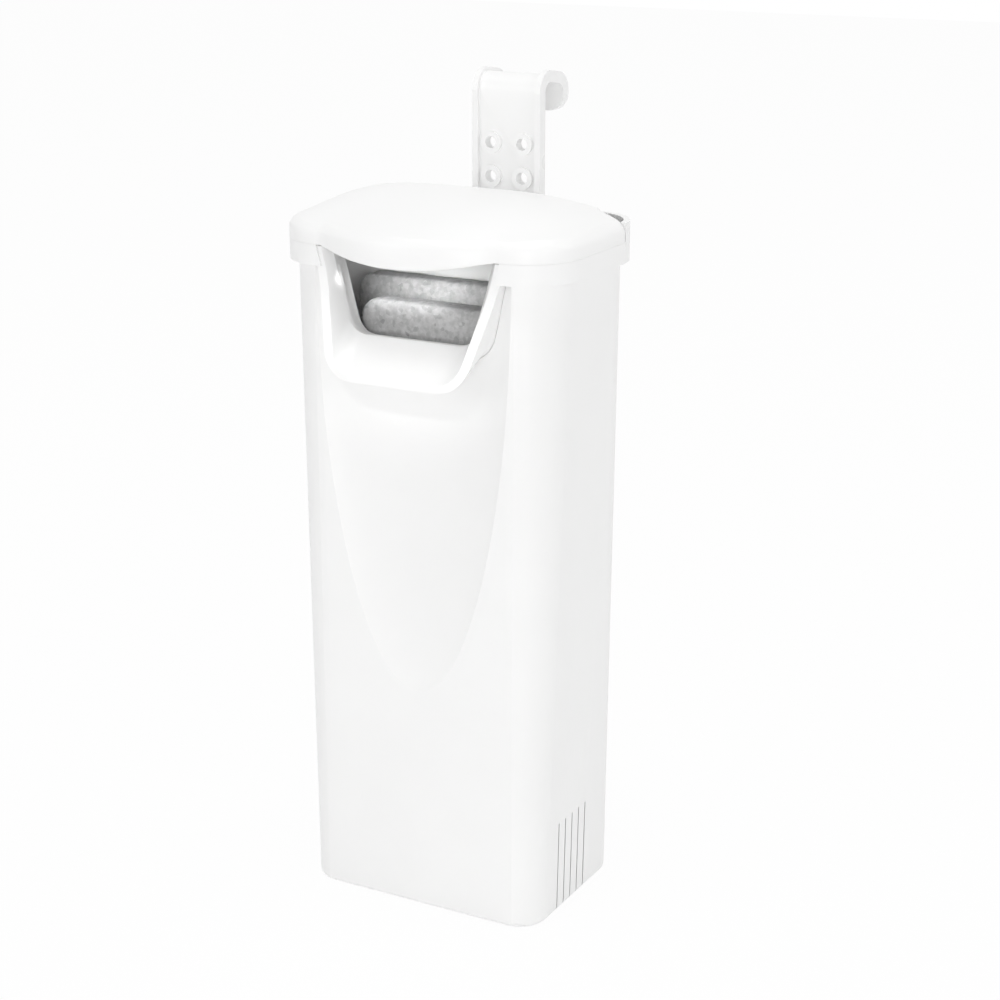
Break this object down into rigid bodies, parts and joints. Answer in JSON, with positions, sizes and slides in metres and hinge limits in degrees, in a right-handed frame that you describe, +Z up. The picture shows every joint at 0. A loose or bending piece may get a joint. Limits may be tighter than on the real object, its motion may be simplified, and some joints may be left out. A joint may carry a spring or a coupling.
{
  "type": "internal power filter",
  "caption": "Slim internal tank filter: tapered case with a waterfall spout over a front chute, domed lid with visor, filter pads, small pump and a peg-hole hanging hook.",
  "frame": {"origin": "middle of the case's flat underside", "axes": "+Z up, the spout faces -Y, the hook and the cord outlet are at +Y"},
  "size_m": [0.0876, 0.0835, 0.2337],
  "materials": {
    "case_plastic": "satin white moulding",
    "tray_plastic": "plain white moulding",
    "hanger_plastic": "slightly translucent white moulding",
    "pad_foam": "grey bonded filter foam",
    "pump_plastic": "dark moulding",
    "impeller_plastic": "white moulding",
    "magnet": "sintered ferrite",
    "ceramic": "polished ceramic",
    "rubber": "soft black rubber"
  },
  "bodies": {
    "case": {"outer_case": "case_plastic", "pump_body": "pump_plastic", "pump_cover": "pump_plastic", "seal_ring": "rubber", "impeller_shaft": "ceramic", "rear_shaft_bush": "rubber", "front_shaft_bush": "rubber", "cord_gland": "rubber", "riser_tube": "tray_plastic", "tube_grommet": "rubber", "pump_foot_1": "rubber", "pump_foot_2": "rubber", "pump_foot_3": "rubber", "pump_foot_4": "rubber"},
    "filter_head": {"spout_frame": "case_plastic", "media_tray": "tray_plastic", "front_filter_pad": "pad_foam", "rear_filter_pad": "pad_foam"},
    "lid": {"lid": "case_plastic"},
    "hanger": {"hanger": "hanger_plastic"},
    "rotor": {"rotor_magnet": "magnet", "impeller": "impeller_plastic"}
  },
  "joints": [
    {"name": "head_lift", "type": "slide", "parent": "case", "child": "filter_head", "axis": [0, 0, 1], "range_m": [0, 0.135]},
    {"name": "lid_lift", "type": "slide", "parent": "filter_head", "child": "lid", "axis": [0, 0, 1], "range_m": [0, 0.025]},
    {"name": "hanger_unclip", "type": "slide", "parent": "case", "child": "hanger", "axis": [0, 1, 0], "range_m": [0, 0.01]},
    {"name": "rotor_spin", "type": "hinge", "parent": "case", "child": "rotor", "pos_m": [0, 0, 0.025], "axis": [1, 0, 0], "continuous": true}
  ]
}
